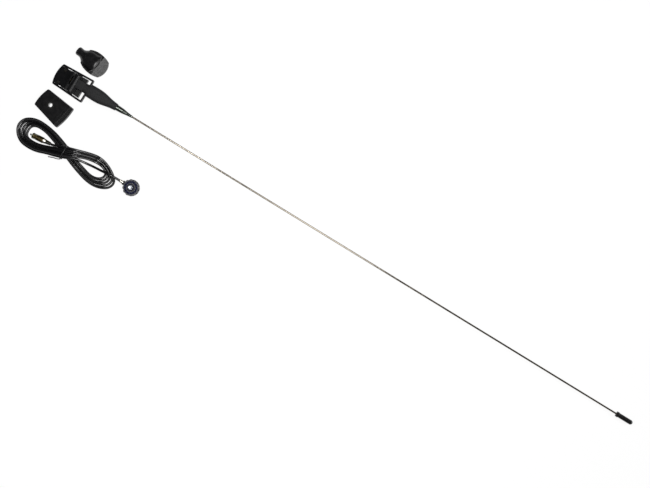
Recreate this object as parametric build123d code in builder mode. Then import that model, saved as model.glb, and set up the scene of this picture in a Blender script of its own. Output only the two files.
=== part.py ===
from build123d import *
import math
import os

os.makedirs("parts", exist_ok=True)

# Driving dimensions, millimetres and degrees. The origin is the roof hole's axis at the foot's base.
foot_rear_x, foot_front_x = -18.0, 38.2
foot_axis_y = -2.8
foot_rear_w, foot_front_w = 36.8, 42.0
foot_bow = 3.4
corner_r = 2.6
ring_wall, ring_h, ring_draft = 3.4, 4.6, 3.0
rail_h = 2.0
rail_spans = [(-16.0, -8.0), (9.0, 18.0)]
block_gap = 0.8
block_front_x, deck_h = 30.0, 9.8
block_rear_h = 6.5

hinge_x, hinge_z = 14.5, 12.5
lug_r = 8.0
eye_r, eye_w, eye_bush_r = 7.0, 14.0, 4.0
slot_low_y, slot_high_y = -7.9, 7.3
slot_floor_z = 3.2
screw_d, pin_clearance = 5.0, 0.05
head_seat_y, head_r, head_h, head_bore_r = 9.2, 4.4, 2.4, 4.8
nut_seat_y, nut_flat_r, nut_bore_r, nut_t = -12.9, 4.0, 4.3, 3.6
lock_r, lock_t = 4.1, 0.9
washer_r, washer_t = 6.2, 0.8
socket_r, socket_bore_r, socket_h = 5.0, 2.5, 9.0
boss_x, boss_l, boss_w = 0.5, 15.4, 26.0
block_screw_x, block_screw_y, block_screw_r = -9.5, 11.0, 1.6
block_head_z, block_head_r, block_head_h, block_head_bore_r = 6.6, 3.1, 2.0, 3.3
leaf_t, leaf_w = 0.5, 5.0

neck_low, neck_high = -5.4, 5.8
cone_start, cone_end, ferrule_end = 17.5, 77.0, 106.0
stub_end, stub_r = 32.0, 4.2
spigot_r, spigot_start = 3.5, 64.0
rod_d = 2.8
tip_start, tip_end = 1011.5, 1041.7
tip_r, tip_bore_l = 3.8, 22.0
collar_r, collar_l = 4.4, 4.6

pad_x, pad_y, pad_turn = 4.3, -52.9, -11.4
pad_l, pad_rear_w, pad_front_w = 51.0, 33.4, 41.0
pad_bow = 2.0
pad_rear_h, pad_front_h, pad_bevel_x = 9.0, 11.8, 21.0
pad_hole_x = -5.2
pad_boss_r, pad_boss_h = 6.4, 1.9
rib_r, rib_t, rib_h = 15.6, 1.4, 3.3
bush_r, bush_bore_r = 4.4, 3.3

cap_x, cap_y, cap_turn = -10.8, 45.8, -7.0
cap_wall = 1.8
flange_h, flange_end_h = 7.0, 3.0
dome_end_x, flange_end_x = 41.5, 56.6
corner_x, corner_y = 51.6, 14.8

fitting_x, fitting_y = 177.2, -97.2
fitting_r, fitting_h = 13.5, 10.0
fitting_floor, groove_depth = 1.6, 1.0
claw_outer_r, claw_inner_r, claw_t, tooth_h = 11.0, 7.2, 1.2, 1.5
insulator_r, insulator_lip_r, insulator_lip_h = 5.4, 6.6, 0.8
stud_d, stud_root_d, stud_top = 5.9, 6.4, 27.5
nut_h, nut_half_w = 2.6, 4.8
lead_y, lead_z = -96.8, 6.0
gland_l, gland_flange_r, gland_r = 6.2, 3.2, 2.7

plug_x, plug_y, plug_turn = -5.6, -108.3, 5.4
plug_r, barrel_r = 4.75, 4.5
pin_r, pin_l = 1.35, 14.0
insulator_start, nose_r, core_r = 3.6, 3.6, 4.1
shell_start, shell_end, crimp_end, sleeve_end = 5.0, 24.0, 28.0, 36.5
crimp_r, sleeve_r = 4.3, 3.5

lead_d = 4.0
pass_h, leg_h, fan_h, lower_pass_h = 16.0, 8.4, 6.0, 9.0
tie_x, tie_w, tie_t = 55.0, 3.4, 0.6

# The mast lies down until its tip cap's collar touches the ground.
slope = math.asin((hinge_z - collar_r - 0.02) / (tip_start + collar_l))
hinge_point = Vector(hinge_x, 0, hinge_z)
mast_dir = Vector(math.cos(slope), 0, -math.sin(slope))
mast_side = Plane(origin=hinge_point, x_dir=mast_dir, z_dir=(0, -1, 0))
mast_axis = Axis(hinge_point, mast_dir)


def mast_station(distance):
    """The plane across the mast at a distance from the hinge, with x across it and y up."""
    return Plane(origin=hinge_point + mast_dir * distance, x_dir=(0, 1, 0), z_dir=mast_dir)


def laid_plane(x, y, z, turn):
    """A level plane turned about the vertical."""
    angle = math.radians(turn)
    return Plane(origin=(x, y, z), x_dir=(math.cos(angle), math.sin(angle), 0), z_dir=(0, 0, 1))


def write(builder, name):
    builder.part.label = name
    export_step(builder.part, f"parts/{name}.step")


# Foot frame: a low ring with a bowed rear end and two rails across it
with BuildSketch() as foot_plan:
    with BuildLine():
        rear, front = foot_rear_w / 2, foot_front_w / 2
        Polyline((foot_rear_x, foot_axis_y - rear), (foot_front_x, foot_axis_y - front),
                 (foot_front_x, foot_axis_y + front), (foot_rear_x, foot_axis_y + rear))
        ThreePointArc((foot_rear_x, foot_axis_y + rear), (foot_rear_x - foot_bow, foot_axis_y),
                      (foot_rear_x, foot_axis_y - rear))
    make_face()
    fillet(foot_plan.vertices(), corner_r)

with BuildSketch() as ring_inside:
    add(foot_plan.sketch)
    offset(amount=-ring_wall, kind=Kind.INTERSECTION)

with BuildPart() as foot_frame:
    add(foot_plan.sketch)
    extrude(amount=ring_h, taper=ring_draft)
    fillet(foot_frame.faces().sort_by(Axis.Z)[-1].edges(), 1.0)
    add(ring_inside.sketch)
    extrude(amount=ring_h, mode=Mode.SUBTRACT)
    for low_x, high_x in rail_spans:
        with BuildSketch():
            add(ring_inside.sketch)
            with Locations(((low_x + high_x) / 2, foot_axis_y)):
                Rectangle(high_x - low_x, foot_front_w, mode=Mode.INTERSECT)
        extrude(amount=rail_h)
write(foot_frame, "foot_frame")

# Hinge block: low at the rear, rising to the two lugs round the hinge, with a flat deck in front
screw_spots = [(block_screw_x, foot_axis_y - block_screw_y), (block_screw_x, foot_axis_y + block_screw_y)]
with BuildPart() as hinge_block:
    with BuildSketch(Plane.XZ.offset(-foot_axis_y)):
        with BuildLine():
            lug_front_x = hinge_x + lug_r
            Polyline((-24, block_rear_h), (-24, rail_h), (lug_front_x, rail_h), (lug_front_x, hinge_z))
            ThreePointArc((lug_front_x, hinge_z), (hinge_x, hinge_z + lug_r), (7.9, 17.02))
            Spline((7.9, 17.02), (-6, 10.2), (-24, block_rear_h), tangents=((-0.566, -0.825), (-1, -0.15)))
        make_face()
    extrude(amount=foot_front_w, both=True)
    with BuildSketch():
        add(ring_inside.sketch)
        offset(amount=-block_gap, kind=Kind.INTERSECTION)
        with Locations((lug_front_x, foot_axis_y)):
            Rectangle(60, foot_front_w, align=(Align.MAX, Align.CENTER), mode=Mode.INTERSECT)
    extrude(amount=40, mode=Mode.INTERSECT)
    crown = [e for e in hinge_block.edges() if e.center().Z > 6.6 and e.length > 9]
    fillet([e for e in crown if abs(e.center().Y - foot_axis_y) > 10], 1.6)
    # Boss under the block, and the deck
    with BuildSketch():
        with Locations((boss_x, foot_axis_y)):
            RectangleRounded(boss_l, boss_w, 2)
    extrude(amount=rail_h + 1)
    with BuildSketch():
        add(ring_inside.sketch)
        offset(amount=-block_gap, kind=Kind.INTERSECTION)
        with Locations((block_front_x, foot_axis_y)):
            Rectangle(block_front_x - lug_front_x + 2, foot_front_w, align=(Align.MAX, Align.CENTER),
                      mode=Mode.INTERSECT)
    extrude(amount=deck_h)
    # Slot of the mast's eye, and the tunnel of the contact spring
    with BuildSketch(Plane.XY.offset(slot_floor_z)):
        with Locations((hinge_x - eye_r - 1.2, (slot_low_y + slot_high_y) / 2)):
            Rectangle(30, slot_high_y - slot_low_y, align=(Align.MIN, Align.CENTER))
    extrude(amount=30, mode=Mode.SUBTRACT)
    with Locations((socket_r, 0, slot_floor_z)):
        Box(8, leaf_w + 0.6, 1.6, align=(Align.CENTER, Align.CENTER, Align.MIN), mode=Mode.SUBTRACT)
    # Hinge bore, the screw head's counterbore and the nut's pocket
    with BuildSketch(Plane.XZ.offset(-30)):
        with Locations((hinge_x, hinge_z)):
            Circle(screw_d / 2)
    extrude(amount=60, mode=Mode.SUBTRACT)
    with BuildSketch(Plane.XZ.offset(-head_seat_y)):
        with Locations((hinge_x, hinge_z)):
            Circle(head_bore_r)
    extrude(amount=-12, mode=Mode.SUBTRACT)
    with BuildSketch(Plane.XZ.offset(-nut_seat_y)):
        with Locations((hinge_x, hinge_z)):
            RegularPolygon(nut_bore_r, 6, major_radius=False)
    extrude(amount=12, mode=Mode.SUBTRACT)
    with Locations((0, 0, socket_h / 2)):
        Cylinder(socket_r, socket_h, mode=Mode.SUBTRACT)
    for spot in screw_spots:
        with BuildSketch(Plane.XY.offset(rail_h)):
            with Locations(spot):
                Circle(block_screw_r)
        extrude(amount=12, mode=Mode.SUBTRACT)
        with BuildSketch(Plane.XY.offset(block_head_z)):
            with Locations(spot):
                Circle(block_head_bore_r)
        extrude(amount=12, mode=Mode.SUBTRACT)
write(hinge_block, "hinge_block")

# Two cross-slotted screws that hold the block on the rear rail
with BuildPart() as block_screws:
    for spot in screw_spots:
        with BuildSketch(Plane.XY.offset(rail_h)):
            with Locations(spot):
                Circle(block_screw_r)
        extrude(amount=block_head_z - rail_h + 0.4)
        with BuildSketch(Plane.XY.offset(block_head_z)):
            with Locations(spot):
                Circle(block_head_r)
        extrude(amount=block_head_h, taper=14)
        with BuildSketch(Plane.XY.offset(block_head_z + block_head_h)):
            with Locations(spot):
                Rectangle(3.8, 0.9, rotation=35)
                Rectangle(3.8, 0.9, rotation=125)
        extrude(amount=-1.2, mode=Mode.SUBTRACT)
write(block_screws, "block_screws")

# Threaded bush that takes the lead fitting's stud
with BuildPart() as roof_socket:
    with BuildSketch():
        Circle(socket_r)
        Circle(socket_bore_r, mode=Mode.SUBTRACT)
    extrude(amount=socket_h)
write(roof_socket, "roof_socket")

# Brass leaf from the roof socket to just under the mast's eye
with BuildPart() as contact_spring:
    with BuildSketch(Plane.XZ):
        with BuildLine():
            leaf_z = slot_floor_z + 0.1
            crest_z = leaf_z + 1.2
            Polyline((socket_r + 0.02, leaf_z), (9.0, leaf_z), (13.2, crest_z), (15.5, crest_z),
                     (18.2, crest_z - 0.5), (18.2, crest_z - 0.5 + leaf_t), (15.5, crest_z + leaf_t),
                     (13.0, crest_z + leaf_t), (8.8, leaf_z + leaf_t), (socket_r + 0.02, leaf_z + leaf_t),
                     close=True)
        make_face()
    extrude(amount=leaf_w / 2, both=True)
write(contact_spring, "contact_spring")

# Hinge screw, with its slotted head on the high side
with BuildPart() as hinge_screw:
    with BuildSketch(Plane.XZ.offset(-head_seat_y)):
        with Locations((hinge_x, hinge_z)):
            Circle(screw_d / 2)
    extrude(amount=head_seat_y - nut_seat_y + 5.0)
    with BuildSketch(Plane.XZ.offset(-head_seat_y)):
        with Locations((hinge_x, hinge_z)):
            Circle(head_r)
    extrude(amount=-head_h)
    fillet(hinge_screw.faces().sort_by(Axis.Y)[-1].edges(), 1.0)
    with BuildSketch(Plane.XZ.offset(-head_seat_y - head_h)):
        with Locations((hinge_x, hinge_z)):
            Rectangle(10, 1.1)
    extrude(amount=1.3, mode=Mode.SUBTRACT)
write(hinge_screw, "hinge_screw")

with BuildPart() as lock_washer:
    with BuildSketch(Plane.XZ.offset(-nut_seat_y)):
        with Locations((hinge_x, hinge_z)):
            Circle(lock_r)
            Circle(screw_d / 2, mode=Mode.SUBTRACT)
    extrude(amount=lock_t)
write(lock_washer, "lock_washer")

with BuildPart() as hinge_nut:
    with BuildSketch(Plane.XZ.offset(lock_t - nut_seat_y)):
        with Locations((hinge_x, hinge_z)):
            RegularPolygon(nut_flat_r, 6, major_radius=False)
            Circle(screw_d / 2, mode=Mode.SUBTRACT)
    extrude(amount=nut_t)
write(hinge_nut, "hinge_nut")

# Friction washer between the low lug and the mast's eye
with BuildPart() as hinge_washer:
    with BuildSketch(Plane.XZ.offset(-slot_low_y)):
        with Locations((hinge_x, hinge_z)):
            Circle(washer_r)
            Circle(screw_d / 2, mode=Mode.SUBTRACT)
    extrude(amount=-washer_t)
write(hinge_washer, "hinge_washer")

# Mast knuckle: the eye, its neck, and a round stub inside the cone
with BuildPart() as mast_knuckle:
    with BuildSketch(mast_side):
        Circle(eye_r)
        with Locations((0, neck_low)):
            Rectangle(cone_start, neck_high - neck_low, align=(Align.MIN, Align.MIN))
    extrude(amount=eye_w / 2, both=True)
    with BuildSketch(mast_side):
        Circle(eye_bush_r)
    extrude(amount=eye_w, both=True, mode=Mode.SUBTRACT)
    with BuildSketch(mast_station(cone_start)):
        Circle(stub_r)
    extrude(amount=stub_end - cone_start)
write(mast_knuckle, "mast_knuckle")

# Mast foot: distance from the hinge, width and height of each section of its neck and of its cone
neck_sections = [(cone_start, 15.4, 12.0), (21.6, 16.2, 12.8), (25.5, 21.2, 13.6)]
cone_sections = [
    (25.5, 21.2, 13.6),
    (36.0, 22.0, 14.0),
    (46.0, 21.4, 13.8),
    (53.0, 19.4, 13.4),
    (61.5, 15.6, 12.6),
    (71.0, 12.4, 11.6),
    (cone_end, 11.0, 11.0),
]
with BuildPart() as mast_foot:
    for sections, straight in ((neck_sections, True), (cone_sections, False)):
        with BuildPart() as stretch:
            for distance, width, height in sections:
                with BuildSketch(mast_station(distance)):
                    RectangleRounded(width, height, 0.44 * height)
            loft(ruled=straight)
        add(stretch.part)
    with BuildSketch(mast_station(cone_start)):
        Circle(stub_r)
    extrude(amount=stub_end - cone_start, mode=Mode.SUBTRACT)
    # Socket of the ferrule's spigot
    with BuildSketch(mast_station(cone_end)):
        Circle(spigot_r)
    extrude(amount=-(cone_end - spigot_start), mode=Mode.SUBTRACT)
write(mast_foot, "mast_foot")

with BuildPart() as eye_bush:
    with BuildSketch(mast_side):
        Circle(eye_bush_r)
        Circle(screw_d / 2 + pin_clearance, mode=Mode.SUBTRACT)
    extrude(amount=eye_w / 2, both=True)
write(eye_bush, "eye_bush")

# Turned ferrule: spigot, rounded collar, long taper down to the rod
with BuildPart() as ferrule:
    with BuildSketch(mast_side):
        with BuildLine():
            Polyline((88.0, 4.2), (cone_end, 4.9), (cone_end, spigot_r), (spigot_start, spigot_r),
                     (spigot_start, 0), (ferrule_end, 0), (ferrule_end, 1.8))
            Spline((ferrule_end, 1.8), (95.0, 3.1), (88.0, 4.2), tangents=((-1, 0.09), (-1, 0.12)))
        make_face()
    revolve(axis=mast_axis)
    with BuildSketch(mast_station(spigot_start + 2)):
        Circle(rod_d / 2)
    extrude(amount=ferrule_end, mode=Mode.SUBTRACT)
write(ferrule, "ferrule")

with BuildPart() as whip_rod:
    with BuildSketch(mast_station(spigot_start + 2)):
        Circle(rod_d / 2)
    extrude(amount=tip_start + tip_bore_l - spigot_start - 2)
write(whip_rod, "whip_rod")

# Tip cap: collar, slim body and round end, with a blind bore for the rod
with BuildPart() as tip_cap:
    with BuildSketch(mast_side):
        with BuildLine():
            collar_end = tip_start + collar_l
            Line((tip_start, 0), (tip_end, 0))
            RadiusArc((tip_end, 0), (tip_end - tip_r, tip_r), -tip_r)
            Polyline((tip_end - tip_r, tip_r), (collar_end + 0.5, tip_r), (collar_end, collar_r - 0.4),
                     (collar_end - 0.4, collar_r), (tip_start + 0.4, collar_r), (tip_start, collar_r - 0.4),
                     (tip_start, 0))
        make_face()
    revolve(axis=mast_axis)
    with BuildSketch(mast_station(tip_start)):
        Circle(rod_d / 2)
    extrude(amount=tip_bore_l, mode=Mode.SUBTRACT)
write(tip_cap, "tip_cap")

# Roof pad: bowed ends, a top that falls to the rear, a boss round the bush and a crescent rib
pad_plane = laid_plane(pad_x, pad_y, 0, pad_turn)
with BuildPart() as roof_pad:
    with BuildSketch(pad_plane) as pad_plan:
        with BuildLine():
            rear, front, half = pad_rear_w / 2, pad_front_w / 2, pad_l / 2
            Line((-half, -rear), (half, -front))
            ThreePointArc((half, -front), (half + pad_bow, 0), (half, front))
            Line((half, front), (-half, rear))
            ThreePointArc((-half, rear), (-half - pad_bow, 0), (-half, -rear))
        make_face()
        fillet(pad_plan.vertices(), 2.4)
    extrude(amount=20, taper=2)
    # Top face, falling to the rear, and a bevel across the front end
    pad_side = Plane(origin=pad_plane.origin, x_dir=pad_plane.x_dir, z_dir=-pad_plane.y_dir)
    with BuildSketch(pad_side):
        with BuildLine():
            Polyline((-40, pad_rear_h - 0.8), (pad_bevel_x, pad_front_h),
                     (pad_bevel_x + 12, pad_front_h - 6), (40, 30), (-40, 30), close=True)
        make_face()
    extrude(amount=60, both=True, mode=Mode.SUBTRACT)
    rim = [e for e in roof_pad.edges() if e.center().Z > pad_rear_h - 3 and e.length > 3.5]
    fillet(rim, 1.0)
    # Boss and crescent rib stand on the top face
    with BuildSketch(pad_plane.offset(pad_rear_h)):
        with Locations((pad_hole_x, 0)):
            Circle(pad_boss_r)
    extrude(amount=pad_boss_h, taper=8)
    with BuildSketch(pad_plane.offset(pad_rear_h)):
        with Locations((2.0, 0)):
            Circle(rib_r)
            Circle(rib_r - rib_t, mode=Mode.SUBTRACT)
        with Locations((17.0, 0)):
            Rectangle(8.0, 15.0, mode=Mode.INTERSECT)
    extrude(amount=rib_h)
    with BuildSketch(pad_plane):
        with Locations((pad_hole_x, 0)):
            Circle(bush_r)
    extrude(amount=30, mode=Mode.SUBTRACT)
write(roof_pad, "roof_pad")

with BuildPart() as pad_bush:
    with BuildSketch(pad_plane):
        with Locations((pad_hole_x, 0)):
            Circle(bush_r)
            Circle(bush_bore_r, mode=Mode.SUBTRACT)
    extrude(amount=pad_rear_h + 2.2)
write(pad_bush, "pad_bush")

# Cover cap: distance along it, half width and height of each arch from the spout to the dome's brow
cap_arches = [
    (0.0, 6.0, 8.4),
    (6.0, 6.9, 9.0),
    (12.0, 9.0, 10.6),
    (16.5, 13.0, 12.8),
    (24.0, 16.0, 15.4),
    (33.0, 17.0, 16.8),
    (42.0, 16.4, 16.2),
]
cap_plane = laid_plane(cap_x, cap_y, 0, cap_turn)
cap_side = Plane(origin=cap_plane.origin, x_dir=cap_plane.x_dir, z_dir=-cap_plane.y_dir)


def cap_dome(wall):
    """The spout and dome, thinner all round by the wall, with a round brow at its end."""
    with BuildPart() as dome:
        for distance, half_width, height in cap_arches:
            station = Plane(origin=cap_plane.origin + cap_plane.x_dir * distance, x_dir=cap_plane.y_dir,
                            z_dir=cap_plane.x_dir)
            with BuildSketch(station):
                Ellipse(half_width - wall, height - wall)
                Rectangle(60, 30, align=(Align.CENTER, Align.MIN), mode=Mode.INTERSECT)
        loft()
        with BuildSketch(cap_plane):
            with Locations((dome_end_x - 16.5, 0)):
                Ellipse(16.5 - wall, 21)
                Rectangle(60, 60, align=(Align.MAX, Align.CENTER))
        extrude(amount=30, mode=Mode.INTERSECT)
    return dome.part


def cap_flange(wall):
    """The low skirt round the dome, with a round end that slopes down from the brow."""
    end_x = corner_x - wall
    with BuildPart() as flange:
        with BuildSketch(cap_plane):
            with BuildLine():
                Line((16, 12.4 - wall), (16, wall - 12.4))
                Spline((16, wall - 12.4), (25, wall - 16.8), (35, wall - 18.1), (end_x, wall - corner_y),
                       tangents=((1, -0.8), (1, 0.4)))
                ThreePointArc((end_x, wall - corner_y), (flange_end_x - wall, 0), (end_x, corner_y - wall))
                Spline((end_x, corner_y - wall), (35, 18.1 - wall), (25, 16.8 - wall), (16, 12.4 - wall),
                       tangents=((-1, 0.4), (-1, -0.8)))
            make_face()
        extrude(amount=flange_h - wall)
        with BuildSketch(cap_side):
            with BuildLine():
                Polyline((dome_end_x - 3, flange_h - wall + 0.6), (60, flange_end_h - wall), (60, 20),
                         (dome_end_x - 3, 20), close=True)
            make_face()
        extrude(amount=40, both=True, mode=Mode.SUBTRACT)
    return flange.part


with BuildPart() as cover_cap:
    add(cap_flange(0))
    add(cap_dome(0))
    add(cap_flange(cap_wall), mode=Mode.SUBTRACT)
    add(cap_dome(cap_wall), mode=Mode.SUBTRACT)
write(cover_cap, "cover_cap")

# Lead fitting: a round body with finger scallops, a boss for the lead and a groove for the earth ring
fitting_spot = (fitting_x, fitting_y)
with BuildPart() as fitting_body:
    with BuildSketch():
        with Locations(fitting_spot):
            Circle(fitting_r)
            with PolarLocations(fitting_r + 1.5, 12, start_angle=15):
                Circle(2.6, mode=Mode.SUBTRACT)
    extrude(amount=fitting_h)
    chamfer(fitting_body.faces().sort_by(Axis.Z)[-1].edges(), 0.8)
    with BuildSketch(Plane.YZ.offset(fitting_x - fitting_r + 3)):
        with Locations((lead_y, lead_z)):
            Circle(3.8)
    extrude(amount=-4.6)
    with BuildSketch(Plane.XY.offset(fitting_h - groove_depth)):
        with Locations(fitting_spot):
            Circle(claw_outer_r)
            Circle(claw_inner_r, mode=Mode.SUBTRACT)
    extrude(amount=5, mode=Mode.SUBTRACT)
    with BuildSketch(Plane.XY.offset(fitting_floor)):
        with Locations(fitting_spot):
            Circle(insulator_r)
    extrude(amount=20, mode=Mode.SUBTRACT)
write(fitting_body, "fitting_body")

# Toothed ring that bites the underside of the roof
with BuildPart() as claw_ring:
    with BuildSketch(Plane.XY.offset(fitting_h - groove_depth)):
        with Locations(fitting_spot):
            Circle(claw_outer_r)
            Circle(claw_inner_r, mode=Mode.SUBTRACT)
    extrude(amount=claw_t)
    with BuildSketch(Plane.XY.offset(fitting_h - groove_depth + claw_t)):
        with Locations(fitting_spot):
            with PolarLocations(9.6, 12):
                Triangle(a=2.6, b=2.6, c=2.6, rotation=180)
    extrude(amount=tooth_h, taper=22)
write(claw_ring, "claw_ring")

with BuildPart() as stud_insulator:
    with BuildSketch(Plane.XY.offset(fitting_floor)):
        with Locations(fitting_spot):
            Circle(insulator_r)
    extrude(amount=fitting_h - fitting_floor)
    with BuildSketch(Plane.XY.offset(fitting_h)):
        with Locations(fitting_spot):
            Circle(insulator_lip_r)
    extrude(amount=insulator_lip_h)
    with BuildSketch():
        with Locations(fitting_spot):
            Circle(stud_root_d / 2)
    extrude(amount=20, mode=Mode.SUBTRACT)
write(stud_insulator, "stud_insulator")

with BuildPart() as stud_nut:
    with BuildSketch(Plane.XY.offset(fitting_h + insulator_lip_h)):
        with Locations(fitting_spot):
            RegularPolygon(nut_half_w, 6, major_radius=False)
            Circle(stud_root_d / 2, mode=Mode.SUBTRACT)
    extrude(amount=nut_h)
write(stud_nut, "stud_nut")

# Stud: a thicker root held by the nut, and the free end that passes through the roof
nut_top = fitting_h + insulator_lip_h + nut_h
with BuildPart() as contact_stud:
    with BuildSketch(Plane.XY.offset(fitting_floor)):
        with Locations(fitting_spot):
            Circle(stud_root_d / 2)
    extrude(amount=nut_top - fitting_floor)
    with BuildSketch(Plane.XY.offset(nut_top)):
        with Locations(fitting_spot):
            Circle(stud_d / 2)
    extrude(amount=stud_top - nut_top)
    chamfer(contact_stud.faces().sort_by(Axis.Z)[-1].edges(), 0.9)
write(contact_stud, "contact_stud")

# Crimped gland of the lead
gland_start, gland_end = fitting_x - fitting_r - 1.6, fitting_x - fitting_r - 1.6 - gland_l
with BuildPart() as lead_gland:
    with BuildSketch(Plane.XY.offset(lead_z)):
        with BuildLine():
            Polyline((gland_start, lead_y), (gland_start, lead_y + gland_flange_r),
                     (gland_start - 2.2, lead_y + gland_flange_r), (gland_start - 2.8, lead_y + gland_r),
                     (gland_end + 0.6, lead_y + gland_r), (gland_end, lead_y + gland_r - 0.4),
                     (gland_end, lead_y), close=True)
        make_face()
    revolve(axis=Axis((0, lead_y, lead_z), (1, 0, 0)))
write(lead_gland, "lead_gland")

# Plug: turned pieces on one axis, with the pin's tip at the start
plug_plane = laid_plane(plug_x, plug_y, plug_r + 0.05, plug_turn)
plug_side = Plane(origin=plug_plane.origin, x_dir=plug_plane.x_dir, z_dir=-plug_plane.y_dir)
plug_axis = Axis(plug_plane.origin, plug_plane.x_dir)


def plug_station(distance):
    """The plane across the plug at a distance from the pin's tip."""
    return Plane(origin=plug_plane.origin + plug_plane.x_dir * distance, x_dir=plug_plane.y_dir,
                 z_dir=plug_plane.x_dir)


with BuildPart() as plug_pin:
    with BuildSketch(plug_side):
        with BuildLine():
            Line((0, 0), (pin_l, 0))
            Polyline((pin_l, 0), (pin_l, pin_r), (pin_r, pin_r))
            RadiusArc((pin_r, pin_r), (0, 0), -pin_r)
        make_face()
    revolve(axis=plug_axis)
write(plug_pin, "plug_pin")

# Insulator: a core held in the shell, and a nose that stands out round the pin
with BuildPart() as plug_insulator:
    with BuildSketch(plug_station(shell_start + 1.5)):
        Circle(core_r)
    extrude(amount=pin_l - shell_start - 1.5)
    with BuildSketch(plug_station(insulator_start)):
        Circle(nose_r)
    extrude(amount=shell_start + 1.5 - insulator_start)
    chamfer(plug_insulator.faces().sort_by(plug_axis)[0].edges(), 0.7)
    with BuildSketch(plug_station(insulator_start)):
        Circle(pin_r)
    extrude(amount=pin_l, mode=Mode.SUBTRACT)
write(plug_insulator, "plug_insulator")

with BuildPart() as plug_shell:
    with BuildSketch(plug_side):
        with BuildLine():
            Polyline((pin_l, core_r), (pin_l, 0), (shell_end, 0), (shell_end, plug_r), (pin_l, plug_r),
                     (pin_l - 0.6, barrel_r), (shell_start + 2.6, barrel_r), (shell_start + 2.0, plug_r),
                     (shell_start + 0.5, plug_r), (shell_start, barrel_r), (shell_start, core_r), close=True)
        make_face()
    revolve(axis=plug_axis)
    # Four slots let the front of the shell spring
    for turn in (0, 90):
        with BuildSketch(plug_station(shell_start - 1)):
            Rectangle(0.8, 12, rotation=45 + turn)
            Circle(core_r - 0.2, mode=Mode.SUBTRACT)
        extrude(amount=8.6, mode=Mode.SUBTRACT)
write(plug_shell, "plug_shell")

with BuildPart() as plug_crimp:
    with BuildSketch(plug_station(shell_end)):
        Circle(crimp_r)
    extrude(amount=crimp_end - shell_end, taper=6)
write(plug_crimp, "plug_crimp")

with BuildPart() as plug_sleeve:
    with BuildSketch(plug_station(crimp_end)):
        Circle(sleeve_r)
    extrude(amount=sleeve_end - crimp_end, taper=4.6)
write(plug_sleeve, "plug_sleeve")

# Lead: the stretch from the gland over the hank's end and across its loop, and the plug's short tail
lead_route = [
    (gland_end, lead_y, lead_z), (152.0, lead_y, lead_z), (146.2, -96.9, 7.8), (138.0, -97.4, 8.9),
    (128.0, -98.4, 8.3), (117.0, -99.3, 7.2), (105.0, -100.3, 6.9), (92.5, -101.8, 7.8), (79.5, -103.8, 9.8),
]
plug_back = plug_plane.origin + plug_plane.x_dir * sleeve_end
tail_turn = plug_back + plug_plane.x_dir * 5.6
tail_route = [tuple(plug_back), tuple(tail_turn), (42.6, -102.2, 6.6), (48.2, -100.0, 9.2)]


def cord_tube(route):
    """A tube of straight runs joined by arcs as large as the runs allow."""
    spots = [Vector(*spot) for spot in route]
    runs = [b - a for a, b in zip(spots, spots[1:])]
    radii = []
    for before, after in zip(runs, runs[1:]):
        half_turn = math.radians(before.get_angle(after)) / 2
        radii.append(0.45 * min(before.length, after.length) / math.tan(half_turn))
    with BuildPart() as tube:
        with BuildLine() as path:
            FilletPolyline(*spots, radius=radii)
        with BuildSketch(Plane(origin=path.line @ 0, z_dir=path.line % 0)):
            Circle(lead_d / 2)
        sweep()
    length = sum(edge.length for edge in path.edges())
    print("radii", [round(r) for r in radii], "length", round(length, 1), "volume", round(tube.part.volume),
          "section times length", round(math.pi * lead_d ** 2 / 4 * length))
    return tube


write(cord_tube(lead_route), "lead_run")
write(cord_tube(tail_route), "plug_run")

# Figure-eight hank: middles of the two outermost strands, from the upper pass of its crossing round the
# left lobe, along the lower pass, and round the right lobe
hank_edges = [
    ((64.9, -110.7), (59.5, -98.7)), ((48.2, -116.8), (43.7, -105.4)), ((31.8, -121.0), (28.3, -111.4)),
    ((16.6, -126.8), (13.8, -116.2)), ((0.9, -128.2), (0.0, -116.8)), ((-12.6, -126.6), (-7.0, -115.2)),
    ((-23.6, -118.6), (-10.6, -110.4)), ((-30.2, -106.6), (-11.6, -103.8)), ((-27.6, -94.4), (-10.6, -97.4)),
    ((-18.8, -86.8), (-6.4, -93.2)), ((-5.5, -82.6), (0.4, -91.3)), ((10.5, -83.2), (13.6, -92.0)),
    ((28.0, -86.0), (27.0, -96.0)), ((45.5, -91.6), (41.9, -101.2)), ((63.5, -98.4), (59.5, -108.0)),
    ((79.9, -105.9), (76.1, -114.9)), ((95.5, -110.8), (92.5, -120.5)), ((109.5, -114.6), (108.5, -124.9)),
    ((119.6, -114.2), (123.5, -126.0)), ((127.0, -110.8), (137.4, -122.4)),
    ((131.2, -104.8), (147.6, -115.2)),
    ((130.2, -98.4), (150.2, -103.6)), ((125.4, -94.2), (140.2, -93.2)), ((117.0, -91.6), (125.0, -85.2)),
    ((105.5, -92.0), (109.0, -81.9)), ((91.0, -94.8), (94.5, -84.6)), ((76.2, -101.4), (72.4, -91.4)),
]
upper_pass, lower_pass, fans = (26, 0), (12, 13, 14), (5, 6, 7, 8, 18, 19, 20, 21)
with BuildPart() as lead_hank:
    for i, start in enumerate(hank_edges):
        end = hank_edges[(i + 1) % len(hank_edges)]
        with BuildSketch():
            with Locations(*start, *end):
                Circle(lead_d / 2)
            make_hull()
        if i in upper_pass:
            extrude(amount=pass_h)
        elif i in lower_pass:
            extrude(amount=lower_pass_h)
        elif i in fans:
            extrude(amount=fan_h)
        else:
            extrude(amount=leg_h)
write(lead_hank, "lead_hank")

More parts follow.
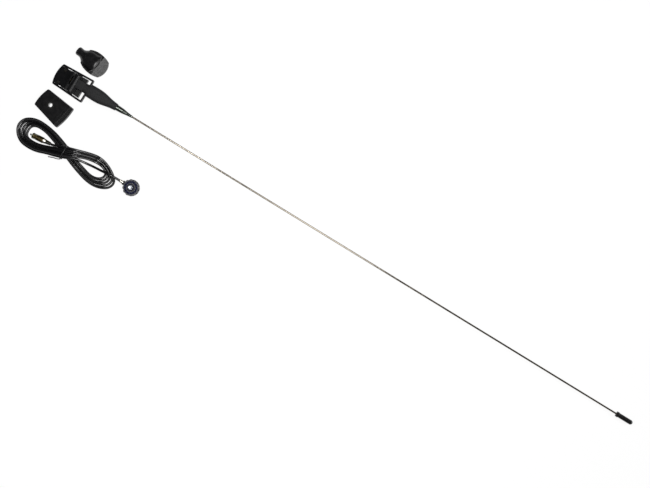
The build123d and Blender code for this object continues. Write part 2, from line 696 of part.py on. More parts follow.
# Wire tie: a flat hoop round the hank's waist and a twisted tail along its side
tie_y, tie_inner_w, tie_inner_h = -103.6, 26.4, pass_h - 0.8
with BuildPart() as twist_tie:
    with BuildSketch(Plane.YZ.offset(tie_x)):
        with Locations((tie_y, tie_inner_h / 2 + tie_t)):
            RectangleRounded(tie_inner_w + 2 * tie_t, tie_inner_h + 2 * tie_t, 6.0)
            RectangleRounded(tie_inner_w, tie_inner_h, 6.0 - tie_t, mode=Mode.SUBTRACT)
    extrude(amount=tie_w)
    with BuildLine() as tail:
        FilletPolyline((tie_x + tie_w / 2, tie_y - tie_inner_w / 2, 6.0), (52.5, -119.4, 3.6),
                       (45.0, -121.4, 1.6), (37.0, -124.6, 1.2), radius=3.0)
    with BuildSketch(Plane(origin=tail.line @ 0, z_dir=tail.line % 0)):
        Circle(0.9)
    sweep()
write(twist_tie, "twist_tie")
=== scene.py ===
import math

import bmesh
import bpy
from mathutils import Matrix, Vector


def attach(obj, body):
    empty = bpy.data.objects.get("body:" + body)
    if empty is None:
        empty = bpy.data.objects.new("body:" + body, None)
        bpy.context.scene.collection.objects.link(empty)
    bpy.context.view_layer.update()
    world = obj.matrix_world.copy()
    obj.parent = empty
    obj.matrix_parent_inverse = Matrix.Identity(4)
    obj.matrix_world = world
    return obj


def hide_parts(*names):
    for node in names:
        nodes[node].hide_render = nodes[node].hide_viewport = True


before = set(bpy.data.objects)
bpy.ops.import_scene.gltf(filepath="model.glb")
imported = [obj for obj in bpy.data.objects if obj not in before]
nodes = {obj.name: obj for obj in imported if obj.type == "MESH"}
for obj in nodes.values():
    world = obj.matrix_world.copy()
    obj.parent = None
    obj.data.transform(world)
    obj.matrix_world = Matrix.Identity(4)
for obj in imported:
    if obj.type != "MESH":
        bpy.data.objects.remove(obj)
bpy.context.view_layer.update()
mm = 0.001  # sizes and places of the pieces are written in millimetres
upward = Vector((0, 0, 1))
fittingAt = (177.2, -97.2)  # axis of the lead fitting, mm
print("frame loaded:", len(nodes), "nodes")


# an sRGB hex colour as the linear one that a shader takes
def toLinear(hexColour):
    parts = [int(hexColour[i:i + 2], 16) / 255 for i in (1, 3, 5)]
    return tuple(c / 12.92 if c <= 0.04045 else ((c + 0.055) / 1.055) ** 2.4 for c in parts) + (1.0,)


# adds any node, with its settings and what goes into its sockets
def addNode(tree, kind, inputs=None, **settings):
    node = tree.nodes.new(kind)
    for name, value in settings.items():
        setattr(node, name, value)
    for socket, value in (inputs or {}).items():
        if isinstance(value, bpy.types.NodeSocket):
            tree.links.new(value, node.inputs[socket])
        else:
            node.inputs[socket].default_value = value
    return node


def wear(piece, material):
    piece.data.materials.clear()
    piece.data.materials.append(material)


def place(name, data):
    piece = bpy.data.objects.new(name, data)
    bpy.context.scene.collection.objects.link(piece)
    return piece


# Camera straight above, turned so that the whip runs down to the right
photo = {
    "width": 650,  # pixels
    "mmPerPixel": 1.6,
    "centre": (488, -12),  # what the camera looks down on, mm
    "turn": 31.5,
    "lens": 85, "sensor": 36,
}


def makeCamera():
    data = bpy.data.cameras.new("photoCamera")
    data.lens, data.sensor_width = photo["lens"], photo["sensor"]
    across = photo["width"] * photo["mmPerPixel"] * mm
    camera = place("photoCamera", data)
    camera.location = (*(c * mm for c in photo["centre"]), across * data.lens / data.sensor_width)
    camera.rotation_euler = (0, 0, math.radians(photo["turn"]))
    bpy.context.scene.camera = camera


# Studio: white paper under everything, a distant softbox off to one side, and four panels overhead that the
# whip and the cap's dome reflect. Places and sizes are in metres
studio = {
    "floorSize": 30.0,
    "floorColour": "#f4f4f4",
    "floorRoughness": 0.9,
    "shadowShare": 0.09,  # how much of the real shadow the paper keeps for the camera
    "skyColour": "#dfe0e2",
    "skyStrength": 0.17,
}
lamps = {
    "side softbox": {"at": (3.3, 1.75, 2.2), "aim": (0.3, 0.0, 0.0), "size": (1.1, 1.1), "watts": 88},
    "dim panel": {"at": (0.02, 0.0, 1.0), "aim": (0.02, 0.0, 0.0), "size": (0.155, 1.2), "watts": 0.62},
    "strip": {"at": (0.136, 0.0, 1.0), "aim": (0.136, 0.0, 0.0), "size": (0.075, 0.7), "watts": 4.4},
    "near panel": {"at": (0.305, 0.0, 1.0), "aim": (0.305, 0.0, 0.0), "size": (0.11, 1.2), "watts": 1.1},
    "far panel": {"at": (0.49, 0.0, 1.0), "aim": (0.49, 0.0, 0.0), "size": (0.26, 2.0), "watts": 9.6},
}


def makeFloor():
    half = studio["floorSize"] / 2
    corners = [(-half, -half, 0), (half, -half, 0), (half, half, 0), (-half, half, 0)]
    mesh = bpy.data.meshes.new("studioFloor")
    mesh.from_pydata(corners, [], [(0, 1, 2, 3)])
    paper = bpy.data.materials.new("matt white paper")
    paper.use_nodes = True
    tree = paper.node_tree
    shader = tree.nodes["Principled BSDF"]
    shader.inputs["Base Color"].default_value = toLinear(studio["floorColour"])
    shader.inputs["Roughness"].default_value = studio["floorRoughness"]
    # to the camera and in reflections the paper is white, apart from its share of the shadow
    ray = addNode(tree, "ShaderNodeLightPath").outputs
    glow = addNode(tree, "ShaderNodeEmission", {"Color": (1, 1, 1, 1), "Strength": 1.0})
    seen = addNode(tree, "ShaderNodeMath", {0: ray["Is Camera Ray"], 1: ray["Is Glossy Ray"]},
                   operation="MAXIMUM")
    through = addNode(tree, "ShaderNodeMath", {0: seen.outputs[0], 1: ray["Is Transmission Ray"]},
                      operation="MAXIMUM")
    share = addNode(tree, "ShaderNodeMath", {0: through.outputs[0], 1: 1 - studio["shadowShare"]},
                    operation="MULTIPLY")
    mix = addNode(tree, "ShaderNodeMixShader", {
        0: share.outputs[0], 1: shader.outputs[0], 2: glow.outputs[0]})
    tree.links.new(mix.outputs[0], tree.nodes["Material Output"].inputs["Surface"])
    mesh.materials.append(paper)
    place("studioFloor", mesh)


def makeLights():
    world = bpy.data.worlds.new("studio")
    world.use_nodes = True
    sky = world.node_tree.nodes["Background"]
    sky.inputs["Color"].default_value = toLinear(studio["skyColour"])
    sky.inputs["Strength"].default_value = studio["skyStrength"]
    bpy.context.scene.world = world
    for name, spec in lamps.items():
        data = bpy.data.lights.new(name, "AREA")
        data.shape, data.energy = "RECTANGLE", spec["watts"]
        data.size, data.size_y = spec["size"]
        lamp = place(name, data)
        lamp.location = spec["at"]
        lamp.rotation_euler = (Vector(spec["aim"]) - Vector(spec["at"])).to_track_quat("-Z", "Y").to_euler()
    bpy.context.scene.view_settings.view_transform = "Standard"


makeCamera()
makeFloor()
makeLights()
print("camera, floor and lights made")

# Finishes. tones: the colour drifts between these two, by clouds of cloudMm and by the grain. shine: the
# roughness drifts in this range, by the clouds. grain: size and depth of the surface grain in mm. stretch:
# below 1 draws the grain out along that axis. Real hairlines, tool rings, pores and fibre ends are finer than
# the grain here, which is as coarse as it needs to be to show
looks = {
    # ABS moulded in a polished tool: deep black with clear reflections, slightly wavy
    "polishedAbs": {"name": "polished black ABS", "tones": ("#08080a", "#0d0d10"), "shine": (0.07, 0.14),
                    "ior": 1.42, "cloudMm": 9, "grain": (3.0, 0.014)},
    # zinc casting under a thin porous black coat: the pores swallow the highlight, so it stays deep black
    "coatedCasting": {"name": "porous black coat", "tones": ("#070708", "#0c0c0e"), "shine": (0.3, 0.42),
                      "ior": 1.28, "cloudMm": 7, "grain": (0.8, 0.01)},
    # compression-moulded rubber: matt black with a soft grey sheen, fine pebble from the mould
    "padRubber": {"name": "moulded black rubber", "tones": ("#070708", "#0f0e0f"), "shine": (0.3, 0.37),
                  "ior": 1.25, "cloudMm": 6, "grain": (0.9, 0.01)},
    # soft rubber moulded as a thin shell: broad grey sheen where it turns to the light, mottled by handling
    "coverRubber": {"name": "satin black rubber", "tones": ("#09090a", "#161517"), "shine": (0.18, 0.27),
                    "ior": 1.37, "cloudMm": 3.2, "grain": (1.7, 0.05)},
    # glass-filled nylon moulding: matt dark grey, no clear highlight, speckled by fibre ends along the cone
    "filledNylon": {"name": "glass-filled grey nylon", "tones": ("#101011", "#1f1f20"), "shine": (0.58, 0.72),
                    "ior": 1.28, "cloudMm": 1.1, "grain": (0.9, 0.06), "stretch": (0.3, 1, 1)},
    # acetal turned on a lathe: satin black with light rings from the tool
    "acetal": {"name": "turned black acetal", "tones": ("#070708", "#101011"), "shine": (0.18, 0.3),
               "ior": 1.48, "cloudMm": 4, "grain": (0.7, 0.02), "stretch": (1, 0.05, 0.05)},
    # cold-drawn stainless spring wire: warm grey with hairlines along it
    "springSteel": {"name": "drawn spring steel", "tones": ("#69635a", "#847d72"), "shine": (0.13, 0.24),
                    "metallic": 1, "cloudMm": 12, "grain": (0.4, 0.006), "stretch": (0.01, 1, 1)},
    # dark chromium plated on a turned sleeve: smoky mirror, the tool's rings just showing
    "chromePlate": {"name": "dark chrome plate", "tones": ("#3c3f3c", "#545853"), "shine": (0.07, 0.15),
                    "metallic": 1, "cloudMm": 5, "grain": (0.5, 0.003), "stretch": (1, 0.05, 0.05)},
    # nickel plated over turned brass: warmer and softer than chromium
    "nickelPlate": {"name": "bright nickel plate", "tones": ("#cac6bc", "#dfdbd2"), "shine": (0.14, 0.28),
                    "metallic": 1, "cloudMm": 3, "grain": (0.5, 0.004)},
    # bare turned brass gone dull: olive brown with darker patches from handling
    "oldBrass": {"name": "dulled brass", "tones": ("#312a1a", "#605436"), "shine": (0.3, 0.5),
                 "metallic": 1, "cloudMm": 2.6, "grain": (0.5, 0.01)},
    # new turned brass: yellow with fine rings
    "turnedBrass": {"name": "turned brass", "tones": ("#a2854a", "#bfa25e"), "shine": (0.2, 0.34),
                    "metallic": 1, "cloudMm": 3, "grain": (0.4, 0.006), "stretch": (1, 1, 0.1)},
    # bright zinc plated on steel: bluish grey with a patchy bloom
    "zincPlate": {"name": "zinc-plated steel", "tones": ("#a4a8ae", "#c6c9cd"), "shine": (0.18, 0.36),
                  "metallic": 1, "cloudMm": 2, "grain": (0.5, 0.008)},
    # steel blued in hot oil: dark with a cold violet sheen
    "bluedSteel": {"name": "blued spring steel", "tones": ("#0b0c14", "#161724"), "shine": (0.26, 0.42),
                   "metallic": 1, "cloudMm": 1.8, "grain": (0.5, 0.01)},
    # phosphated and oiled fasteners: near black with a soft metal sheen
    "oiledSteel": {"name": "oiled black steel", "tones": ("#1b1a19", "#2f2e2c"), "shine": (0.24, 0.4),
                   "metallic": 1, "cloudMm": 2, "grain": (0.6, 0.01)},
    # nylon moulded in a polished tool: blue-black, cold reflections
    "fittingNylon": {"name": "blue-black nylon", "tones": ("#07080d", "#0f1018"), "shine": (0.12, 0.24),
                     "ior": 1.42, "cloudMm": 2.4, "grain": (0.9, 0.014)},
    # polythene moulded without pigment: pale greenish white, waxy
    "paleInsulator": {"name": "natural polythene", "tones": ("#b4bda6", "#d3dac8"), "shine": (0.36, 0.5),
                      "ior": 1.51, "cloudMm": 1.5, "grain": (0.6, 0.02)},
    # pressed fibre: matt black with a felted grain
    "pressedFibre": {"name": "pressed black fibre", "tones": ("#121110", "#211f1e"), "shine": (0.7, 0.85),
                     "ior": 1.5, "cloudMm": 1.5, "grain": (0.4, 0.03), "stretch": (1, 0.3, 1)},
    # PVC jacket extruded smooth: glossy black, narrow hard highlights, faint waves from the die
    "vinylJacket": {"name": "extruded black vinyl", "tones": ("#070708", "#0c0b0d"), "shine": (0.08, 0.15),
                    "ior": 1.4, "cloudMm": 16, "grain": (5.0, 0.03)},
    # vinyl sleeve moulded over the plug's back: gone olive with age, still glossy
    "agedVinyl": {"name": "aged olive vinyl", "tones": ("#0d0e07", "#1a190e"), "shine": (0.1, 0.18),
                  "ior": 1.38, "cloudMm": 3, "grain": (0.8, 0.03)},
    # plastic strip laminated over a wire: satin black with fine crosswise creases
    "tieStrip": {"name": "laminated black strip", "tones": ("#070708", "#0d0d0e"), "shine": (0.16, 0.26),
                 "ior": 1.45, "cloudMm": 2, "grain": (0.8, 0.02), "stretch": (1, 0.25, 0.25)},
}
# how finely the clouds and the grain break up, and between which of their values tone and roughness run
noise = {"cloudDetail": 4.0, "grainDetail": 2.0, "toneSpan": (0.4, 0.6), "shineSpan": (0.32, 0.68)}


# the clouds drive the roughness and half of the tone, the grain the bump and the other half
def makeFinish(look):
    material = bpy.data.materials.new(look["name"])
    material.use_nodes = True
    tree = material.node_tree
    shader = tree.nodes["Principled BSDF"]
    shader.inputs["Metallic"].default_value = look.get("metallic", 0)
    if "ior" in look:
        shader.inputs["IOR"].default_value = look["ior"]
    grainSize, grainDepth = (size * mm for size in look["grain"])
    spot = addNode(tree, "ShaderNodeTexCoord").outputs["Object"]
    drawn = addNode(tree, "ShaderNodeMapping", {"Vector": spot, "Scale": look.get("stretch", (1, 1, 1))})
    clouds = addNode(tree, "ShaderNodeTexNoise", {
        "Vector": spot, "Detail": noise["cloudDetail"], "Scale": 1 / (look["cloudMm"] * mm)})
    grain = addNode(tree, "ShaderNodeTexNoise", {
        "Vector": drawn.outputs["Vector"], "Detail": noise["grainDetail"], "Scale": 1 / grainSize})
    both = addNode(tree, "ShaderNodeMath", {0: clouds.outputs["Fac"], 1: grain.outputs["Fac"]},
                   operation="ADD")
    half = addNode(tree, "ShaderNodeMath", {0: both.outputs[0], 1: 0.5}, operation="MULTIPLY")
    tone = addNode(tree, "ShaderNodeValToRGB", {"Fac": half.outputs[0]})
    low, high = tone.color_ramp.elements
    low.position, high.position = noise["toneSpan"]
    low.color, high.color = (toLinear(colour) for colour in look["tones"])
    shine = addNode(tree, "ShaderNodeMapRange", {
        "Value": clouds.outputs["Fac"], "From Min": noise["shineSpan"][0], "From Max": noise["shineSpan"][1],
        "To Min": look["shine"][0], "To Max": look["shine"][1]})
    bump = addNode(tree, "ShaderNodeBump", {"Height": grain.outputs["Fac"], "Distance": grainDepth})
    tree.links.new(tone.outputs["Color"], shader.inputs["Base Color"])
    tree.links.new(shine.outputs["Result"], shader.inputs["Roughness"])
    tree.links.new(bump.outputs["Normal"], shader.inputs["Normal"])
    return material


finishes = {key: makeFinish(look) for key, look in looks.items()}
worn = {
    "polishedAbs": ["foot_frame"], "coatedCasting": ["hinge_block", "mast_knuckle"],
    "padRubber": ["roof_pad"], "coverRubber": ["cover_cap"], "filledNylon": ["mast_foot"],
    "acetal": ["tip_cap"], "springSteel": ["whip_rod"], "chromePlate": ["ferrule"],
    "nickelPlate": ["plug_pin", "plug_crimp", "lead_gland"], "oldBrass": ["plug_shell"],
    "turnedBrass": ["roof_socket", "eye_bush", "contact_spring"], "zincPlate": ["contact_stud"],
    "bluedSteel": ["claw_ring", "stud_nut"], "fittingNylon": ["fitting_body"],
    "paleInsulator": ["plug_insulator"], "pressedFibre": ["stud_insulator", "hinge_washer"],
    "oiledSteel": ["hinge_screw", "lock_washer", "hinge_nut", "block_screws", "pad_bush"],
    "agedVinyl": ["plug_sleeve"], "vinylJacket": ["lead_run", "plug_run", "lead_hank"],
    "tieStrip": ["twist_tie"],
}
for key, names in worn.items():
    for name in names:
        wear(nodes[name], finishes[key])
print("finishes made:", len(finishes))

# Coaxial lead: a figure-eight hank of five turns, entered from the fitting and left towards the plug
lead = {
    "diameter": 4.0,
    "turns": 5,
    "touch": 4.4,  # from a strand's middle to that of the one that rides on it, with a little air between
    "swapAt": 21,  # past this pair of edges the other strands ride high, as each turn has moved over by one
    # middles of the outermost strands on the two sides of the bundle: round the left lobe from the upper pass
    # of the crossing, back along the lower pass, and round the right lobe
    "edges": [
        ((64.9, -110.7), (59.5, -98.7)), ((48.2, -116.8), (43.7, -105.4)),
        ((31.8, -121.0), (28.3, -111.4)), ((16.6, -126.8), (13.8, -116.2)),
        ((0.9, -128.2), (0.0, -116.8)), ((-12.6, -126.6), (-7.0, -115.2)),
        ((-23.6, -118.6), (-10.6, -110.4)), ((-30.2, -106.6), (-11.6, -103.8)),
        ((-27.6, -94.4), (-10.6, -97.4)), ((-18.8, -86.8), (-6.4, -93.2)),
        ((-5.5, -82.6), (0.4, -91.3)), ((10.5, -83.2), (13.6, -92.0)),
        ((28.0, -86.0), (27.0, -96.0)), ((45.5, -91.6), (41.9, -101.2)),
        ((63.5, -98.4), (59.5, -108.0)), ((79.9, -105.9), (76.1, -114.9)),
        ((95.5, -110.8), (92.5, -120.5)), ((109.5, -114.6), (108.5, -124.9)),
        ((119.6, -114.2), (123.5, -126.0)), ((127.0, -110.8), (137.4, -122.4)),
        ((131.2, -104.8), (147.6, -115.2)), ((130.2, -98.4), (150.2, -103.6)),
        ((125.4, -94.2), (140.2, -93.2)), ((117.0, -91.6), (125.0, -85.2)),
        ((105.5, -92.0), (109.0, -81.9)), ((91.0, -94.8), (94.5, -84.6)),
        ((76.2, -101.4), (72.4, -91.4)),
    ],
    # how much higher than the floor the bundle runs at some pairs, over the crossing and where it sags back
    "rise": {0: 8.6, 1: 8.0, 2: 3.8, 3: 0.9, 13: 0.5, 14: 0.55, 15: 0.5, 24: 0.9, 25: 3.8, 26: 8.0},
    "entryRun": [
        (155.9, -96.8, 6.0), (148.5, -96.8, 7.3), (140.0, -97.3, 8.8), (129.5, -98.3, 8.4),
        (118.0, -99.2, 7.4), (106.0, -100.2, 6.9), (92.5, -101.8, 7.6),
    ],
    "exitRun": [
        (50.0, -98.6, 11.8), (43.0, -101.3, 9.3), (37.2, -103.6, 6.2), (33.6, -104.6, 4.9),
        (30.74, -104.87, 4.8),
    ],
    "roundSteps": 6, "runSteps": 8,  # fineness round the cord and along it
}


# where one turn of the hank passes the pair i of its edges
def strandPoint(turn, i):
    edges = lead["edges"]
    left, right = (Vector(edge) for edge in edges[i])
    before, after = edges[i - 1], edges[(i + 1) % len(edges)]
    ahead = (Vector(after[0]) + Vector(after[1]) - Vector(before[0]) - Vector(before[1])).normalized()
    steps = lead["turns"] - 1
    spacing = abs((right - left).cross(ahead)) / steps
    spot = left + (right - left) * (turn / steps)
    height = lead["diameter"] / 2 + lead["rise"].get(i, 0)
    if (turn + (i >= lead["swapAt"])) % 2:
        height += math.sqrt(max(0, lead["touch"] ** 2 - spacing ** 2))
    return spot.x, spot.y, height


def leadPoints():
    pairs = len(lead["edges"])
    points = lead["entryRun"] + [strandPoint(-1, pairs - 1)]
    for turn in range(lead["turns"]):
        points += [strandPoint(turn, i) for i in range(pairs)]
    return points + [strandPoint(lead["turns"], 0)] + lead["exitRun"]


def makeLead():
    data = bpy.data.curves.new("leadCord", "CURVE")
    data.dimensions = "3D"
    data.bevel_depth = lead["diameter"] / 2 * mm
    data.bevel_resolution, data.resolution_u = lead["roundSteps"], lead["runSteps"]
    points = leadPoints()
    spline = data.splines.new("NURBS")
    spline.points.add(len(points) - 1)
    for knot, spot in zip(spline.points, points):
        knot.co = (*(c * mm for c in spot), 1)
    spline.order_u = 3
    spline.use_endpoint_u = True
    cord = place("leadCord", data)
    wear(cord, finishes["vinylJacket"])
    return cord


# length of a cord's middle line, read from its curve with the tube left off
def lineLength(cord):
    depth, cord.data.bevel_depth = cord.data.bevel_depth, 0
    bpy.context.view_layer.update()
    line = bpy.data.meshes.new_from_object(cord.evaluated_get(bpy.context.evaluated_depsgraph_get()))
    cord.data.bevel_depth = depth
    spots = [v.co for v in line.vertices]
    length = sum((b - a).length for a, b in zip(spots, spots[1:]))
    bpy.data.meshes.remove(line)
    return length


leadCord = makeLead()
leadLength = lineLength(leadCord)
print("lead laid:", round(leadLength, 3), "m")


# Geometry Nodes: a tree with named sizes, which ends in real geometry that wears its finish, is run once on
# an empty mesh and kept as a plain mesh
def newTree(name, sizes):
    tree = bpy.data.node_groups.new(name, "GeometryNodeTree")
    tree.interface.new_socket("Geometry", in_out="OUTPUT", socket_type="NodeSocketGeometry")
    for label, value in sizes.items():
        kind = "NodeSocketInt" if isinstance(value, int) else "NodeSocketFloat"
        tree.interface.new_socket(label, in_out="INPUT", socket_type=kind)
    tree.interface.new_socket("Finish", in_out="INPUT", socket_type="NodeSocketMaterial")
    return tree, addNode(tree, "NodeGroupInput").outputs


def endTree(tree, shape, given):
    real = addNode(tree, "GeometryNodeRealizeInstances", {"Geometry": shape})
    painted = addNode(tree, "GeometryNodeSetMaterial", {
        "Geometry": real.outputs[0], "Material": given["Finish"]})
    addNode(tree, "NodeGroupOutput", {"Geometry": painted.outputs[0]})
    return tree


def runTree(name, tree, sizes, finish):
    holder = place(name + "Holder", bpy.data.meshes.new(name + "Holder"))
    modifier = holder.modifiers.new(name, "NODES")
    modifier.node_group = tree
    values = {**sizes, "Finish": finish}
    for item in tree.interface.items_tree:
        if item.in_out == "INPUT":
            modifier[item.identifier] = values[item.name]
    bpy.context.view_layer.update()
    mesh = bpy.data.meshes.new_from_object(holder.evaluated_get(bpy.context.evaluated_depsgraph_get()))
    bpy.data.objects.remove(holder)
    mesh.name = name
    return place(name, mesh)


# Contact stud: a shank with a helical thread, on the thick root that the nut holds
stud = {
    "Core Radius": 2.5 * mm, "Crest Radius": 2.93 * mm, "Root Radius": 3.2 * mm, "End Radius": 1.4 * mm,
    "Root Foot": 1.6 * mm, "Shank Foot": 13.4 * mm, "Thread Top": 25.6 * mm, "Top": 27.5 * mm,
    "Centre X": fittingAt[0] * mm, "Centre Y": fittingAt[1] * mm,
    "Turns": 12.0, "Steps per Turn": 32, "Ridge Sides": 4, "Shank Sides": 40,
}


def studTree():
    tree, given = newTree("studThread", stud)
    rise = addNode(tree, "ShaderNodeMath", {0: given["Thread Top"], 1: given["Shank Foot"]},
                   operation="SUBTRACT")
    helix = addNode(tree, "GeometryNodeCurveSpiral", {
        "Resolution": given["Steps per Turn"], "Rotations": given["Turns"], "Height": rise.outputs[0],
        "Start Radius": given["Core Radius"], "End Radius": given["Core Radius"]})
    depth = addNode(tree, "ShaderNodeMath", {0: given["Crest Radius"], 1: given["Core Radius"]},
                    operation="SUBTRACT")
    ridge = addNode(tree, "GeometryNodeCurvePrimitiveCircle", {
        "Resolution": given["Ridge Sides"], "Radius": depth.outputs[0]})
    thread = addNode(tree, "GeometryNodeCurveToMesh", {
        "Curve": helix.outputs["Curve"], "Profile Curve": ridge.outputs["Curve"], "Fill Caps": True})
    foot = addNode(tree, "ShaderNodeCombineXYZ", {
        "X": given["Centre X"], "Y": given["Centre Y"], "Z": given["Shank Foot"]})
    parts = [addNode(tree, "GeometryNodeTransform", {
        "Geometry": thread.outputs[0], "Translation": foot.outputs[0]})]
    for bottom, top, wide, narrow in (("Root Foot", "Shank Foot", "Root Radius", "Root Radius"),
                                      ("Shank Foot", "Thread Top", "Core Radius", "Core Radius"),
                                      ("Thread Top", "Top", "Core Radius", "End Radius")):
        length = addNode(tree, "ShaderNodeMath", {0: given[top], 1: given[bottom]}, operation="SUBTRACT")
        rod = addNode(tree, "GeometryNodeMeshCone", {
            "Vertices": given["Shank Sides"], "Radius Bottom": given[wide], "Radius Top": given[narrow],
            "Depth": length.outputs[0]})
        spot = addNode(tree, "ShaderNodeCombineXYZ", {
            "X": given["Centre X"], "Y": given["Centre Y"], "Z": given[bottom]})
        parts.append(addNode(tree, "GeometryNodeTransform", {
            "Geometry": rod.outputs["Mesh"], "Translation": spot.outputs[0]}))
    joined = addNode(tree, "GeometryNodeJoinGeometry")
    for part in parts:
        tree.links.new(part.outputs[0], joined.inputs[0])
    return endTree(tree, joined.outputs[0], given)


studPiece = runTree("threadedStud", studTree(), stud, finishes["zincPlate"])
print("stud threaded")

# Fine ribs that stand in a ring: grip on the fitting's rim, and the knurl on the plug's shell
rim = {
    "ribs": {
        "Count": 60, "Ring Radius": 11.75 * mm,
        "Rib Length": 1.1 * mm, "Rib Width": 0.5 * mm, "Rib Height": 0.5 * mm,
    },
    "height": 10.0,  # top face of the fitting
}
knurl = {
    "ribs": {
        "Count": 30, "Ring Radius": 4.5 * mm,
        "Rib Length": 8.6 * mm, "Rib Width": 0.5 * mm, "Rib Height": 0.5 * mm,
    },
    "plugTip": (-5.6, -108.3, 4.8),
    "plugTurn": 5.4,
    "middle": 19.2,  # from the plug's tip
}


# lying ribs point away from the ring's middle; standing ones run along its axis
def ribTree(name, sizes, standing):
    tree, given = newTree(name, sizes)
    ring = addNode(tree, "GeometryNodeMeshCircle", {
        "Vertices": given["Count"], "Radius": given["Ring Radius"]})
    box = addNode(tree, "ShaderNodeCombineXYZ", {
        "X": given["Rib Height" if standing else "Rib Length"], "Y": given["Rib Width"],
        "Z": given["Rib Length" if standing else "Rib Height"]})
    rib = addNode(tree, "GeometryNodeMeshCube", {"Size": box.outputs[0]})
    order = addNode(tree, "GeometryNodeInputIndex")
    turn = addNode(tree, "ShaderNodeMath", {0: order.outputs[0], 1: 2 * math.pi}, operation="MULTIPLY")
    angle = addNode(tree, "ShaderNodeMath", {0: turn.outputs[0], 1: given["Count"]}, operation="DIVIDE")
    facing = addNode(tree, "ShaderNodeCombineXYZ", {"Z": angle.outputs[0]})
    ribs = addNode(tree, "GeometryNodeInstanceOnPoints", {
        "Points": ring.outputs["Mesh"], "Instance": rib.outputs["Mesh"], "Rotation": facing.outputs[0]})
    return endTree(tree, ribs.outputs[0], given)


def makeRim():
    tree = ribTree("rimRibs", rim["ribs"], False)
    piece = runTree("fittingRibs", tree, rim["ribs"], finishes["fittingNylon"])
    piece.data.transform(Matrix.Translation([c * mm for c in (*fittingAt, rim["height"])]))
    return piece


def makeKnurl():
    tree = ribTree("knurlRibs", knurl["ribs"], True)
    piece = runTree("shellKnurl", tree, knurl["ribs"], finishes["oldBrass"])
    plugFrame = (Matrix.Translation([c * mm for c in knurl["plugTip"]])
                 @ Matrix.Rotation(math.radians(knurl["plugTurn"]), 4, "Z"))
    along = Matrix.Translation((knurl["middle"] * mm, 0, 0)) @ Matrix.Rotation(math.radians(90), 4, "Y")
    piece.data.transform(plugFrame @ along)
    return piece


rimPiece = makeRim()
knurlPiece = makeKnurl()
print("ribs and knurl made")


# a skin through the same section at each station of a path, given as middle, across and up
def sweepRings(stations, section, closed):
    spots, faces = [], []
    size, count = len(section), len(stations)
    for middle, across, up in stations:
        spots += [(middle + across * a + up * b) * mm for a, b in section]
    for i in range(count if closed else count - 1):
        here, there = i * size, (i + 1) % count * size
        for k in range(size):
            after = (k + 1) % size
            faces.append((here + k, here + after, there + after, there + k))
    if not closed:
        faces += [tuple(reversed(range(size))), tuple(range((count - 1) * size, count * size))]
    return spots, faces


# one piece of several skins
def skinPiece(name, skins, material):
    spots, faces = [], []
    for partSpots, partFaces in skins:
        shift = len(spots)
        spots += partSpots
        faces += [tuple(i + shift for i in face) for face in partFaces]
    mesh = bpy.data.meshes.new(name)
    mesh.from_pydata(spots, [], faces)
    mesh.shade_smooth()
    piece = place(name, mesh)
    wear(piece, material)
    return piece


# Twist tie: a flat strip with a wire down its middle, wound round the waist, its two ends twisted together
tie = {
    "hoopX": 56.7, "hoopY": -104.75, "bottom": 0.8,  # the hoop's middle, and its height over the floor
    "inner": (23.0, 15.2), "cornerRadius": 2.4, "cornerSteps": 8,
    "width": 3.4, "stripThick": 0.34, "wireRadius": 0.42, "wireCrown": 0.6,
    "gap": 0.05,  # between the strip and the strands
    "tail": [
        (56.7, -116.6, 6.2), (55.2, -118.2, 4.8), (52.5, -119.4, 3.4), (49.0, -120.4, 2.2),
        (45.0, -121.4, 1.7), (41.0, -122.9, 1.5), (37.2, -124.4, 1.4),
    ],
    "tailSteps": 10, "twistPitch": 4.6, "twistRadius": 0.5, "strandRadius": 0.5, "strandSides": 8,
}


def tieHoop():
    halfWidth, halfHeight = tie["inner"][0] / 2, tie["inner"][1] / 2
    radius, middleZ = tie["cornerRadius"], halfHeight + tie["bottom"]
    out = tie["stripThick"] / 2 + tie["gap"]
    stations = []
    for cornerY, cornerZ, start in ((1, 1, 0), (-1, 1, 90), (-1, -1, 180), (1, -1, 270)):
        spotY = tie["hoopY"] + cornerY * (halfWidth - radius)
        spotZ = middleZ + cornerZ * (halfHeight - radius)
        for step in range(tie["cornerSteps"] + 1):
            angle = math.radians(start + step * 90 / tie["cornerSteps"])
            outward = Vector((0, math.cos(angle), math.sin(angle)))
            middle = Vector((tie["hoopX"], spotY, spotZ)) + outward * (radius + out)
            stations.append((middle, Vector((1, 0, 0)), outward))
    half, thick, wire = tie["width"] / 2, tie["stripThick"] / 2, tie["wireRadius"]
    crown = wire * tie["wireCrown"]
    section = [(-half, -thick), (half, -thick), (half, thick), (wire, thick),
               (crown, wire), (-crown, wire), (-wire, thick), (-half, thick)]
    return sweepRings(stations, section, True)


# a smooth line through all the points of a path
def smoothLine(path, steps):
    line = []
    for i in range(len(path) - 1):
        p0, p1, p2, p3 = path[max(i - 1, 0)], path[i], path[i + 1], path[min(i + 2, len(path) - 1)]
        for k in range(steps):
            u = k / steps
            line.append(0.5 * (2 * p1 + (p2 - p0) * u + (2 * p0 - 5 * p1 + 4 * p2 - p3) * u ** 2
                               + (3 * p1 - p0 - 3 * p2 + p3) * u ** 3))
    return line + [path[-1]]


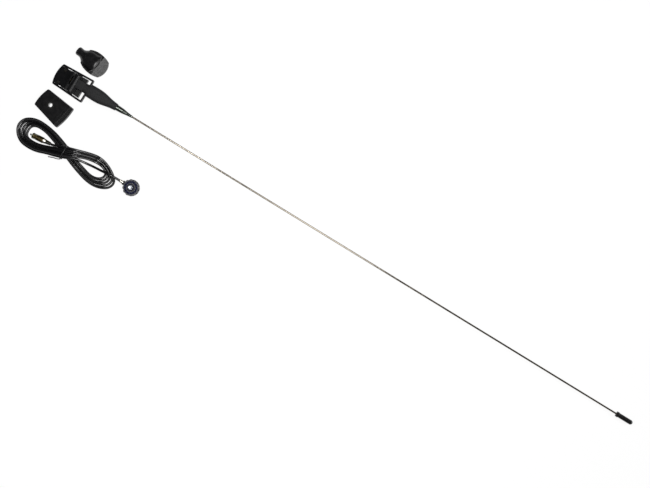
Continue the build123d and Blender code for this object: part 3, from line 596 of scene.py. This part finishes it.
# one of the two ends of the strip, wound round the tail's line; phase puts the other end across from it
def tieTail(phase):
    line = smoothLine([Vector(spot) for spot in tie["tail"]], tie["tailSteps"])
    stations, run = [], 0.0
    for i, spot in enumerate(line):
        ahead = (line[min(i + 1, len(line) - 1)] - line[max(i - 1, 0)]).normalized()
        across = ahead.cross(upward).normalized()
        up = across.cross(ahead)
        if i:
            run += (spot - line[i - 1]).length
        angle = phase + 2 * math.pi * run / tie["twistPitch"]
        aside = (across * math.cos(angle) + up * math.sin(angle)) * tie["twistRadius"]
        stations.append((spot + aside, across, up))
    radius, sides = tie["strandRadius"], tie["strandSides"]
    angles = [2 * math.pi * k / sides for k in range(sides)]
    section = [(radius * math.cos(angle), radius * math.sin(angle)) for angle in angles]
    return sweepRings(stations, section, False)


tiePiece = skinPiece("twistTie", (tieHoop(), tieTail(0), tieTail(math.pi)), finishes["tieStrip"])
print("tie wound")

# Foot packing: rubber strips pressed into the gap between ring and block at the rear end and along both
# sides, each given by its two ends and the middle between them; short gaps stay open near the rear corners
packing = {
    "strips": [
        ((-4.0, -18.05), (2.45, -18.345), (8.9, -18.64)),
        ((-0.5, 12.61), (4.2, 12.825), (8.9, 13.04)),
        ((-15.6, -16.5), (-17.6, -2.8), (-15.6, 10.9)),
    ],
    "bottom": 0.3, "height": 1.9, "thick": 0.62, "bevel": 0.16, "stations": 17,
}


def makePacking():
    skins = []
    high, wide, bevel = packing["height"] / 2, packing["thick"] / 2, packing["bevel"]
    section = [(-wide, -high + bevel), (-wide + bevel, -high), (wide - bevel, -high), (wide, -high + bevel),
               (wide, high - bevel), (wide - bevel, high), (-wide + bevel, high), (-wide, high - bevel)]
    for strip in packing["strips"]:
        start, middle, end = (Vector((*spot, packing["bottom"] + high)) for spot in strip)
        bow = middle - (start + end) / 2
        stations = []
        for i in range(packing["stations"]):
            share = i / (packing["stations"] - 1)
            spot = start.lerp(end, share) + bow * 4 * share * (1 - share)
            ahead = end - start + bow * 4 * (1 - 2 * share)
            stations.append((spot, ahead.cross(upward).normalized(), upward))
        skins.append(sweepRings(stations, section, False))
    return skinPiece("footPacking", skins, finishes["padRubber"])


packingPiece = makePacking()

# Plain flange at the foot of the fitting, which gives its scalloped body a round outline from above
flange = {
    "radius": 12.4,  # of the circle that the section is drawn from
    "section": [(-2, 0), (0.6, 0), (0.9, 0.3), (0.9, 1), (0.5, 1.4), (-2, 1.4)],
    "stations": 96,
}


def makeFlange():
    stations = []
    for i in range(flange["stations"]):
        angle = 2 * math.pi * i / flange["stations"]
        outward = Vector((math.cos(angle), math.sin(angle), 0))
        stations.append((Vector((*fittingAt, 0)) + outward * flange["radius"], outward, upward))
    skin = sweepRings(stations, flange["section"], True)
    return skinPiece("fittingFlange", [skin], finishes["fittingNylon"])


flangePiece = makeFlange()
print("packing and flange fitted")


# turns every face outwards
def faceOut(piece):
    skin = bmesh.new()
    skin.from_mesh(piece.data)
    bmesh.ops.recalc_face_normals(skin, faces=skin.faces)
    skin.to_mesh(piece.data)
    skin.free()


for piece in (studPiece, rimPiece, knurlPiece, tiePiece, packingPiece, flangePiece):
    faceOut(piece)
    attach(piece, "foot")
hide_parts("contact_stud")
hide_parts("twist_tie")

# The lead and what is on it ride with the foot's body
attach(leadCord, "foot")
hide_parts("lead_run", "plug_run", "lead_hank")
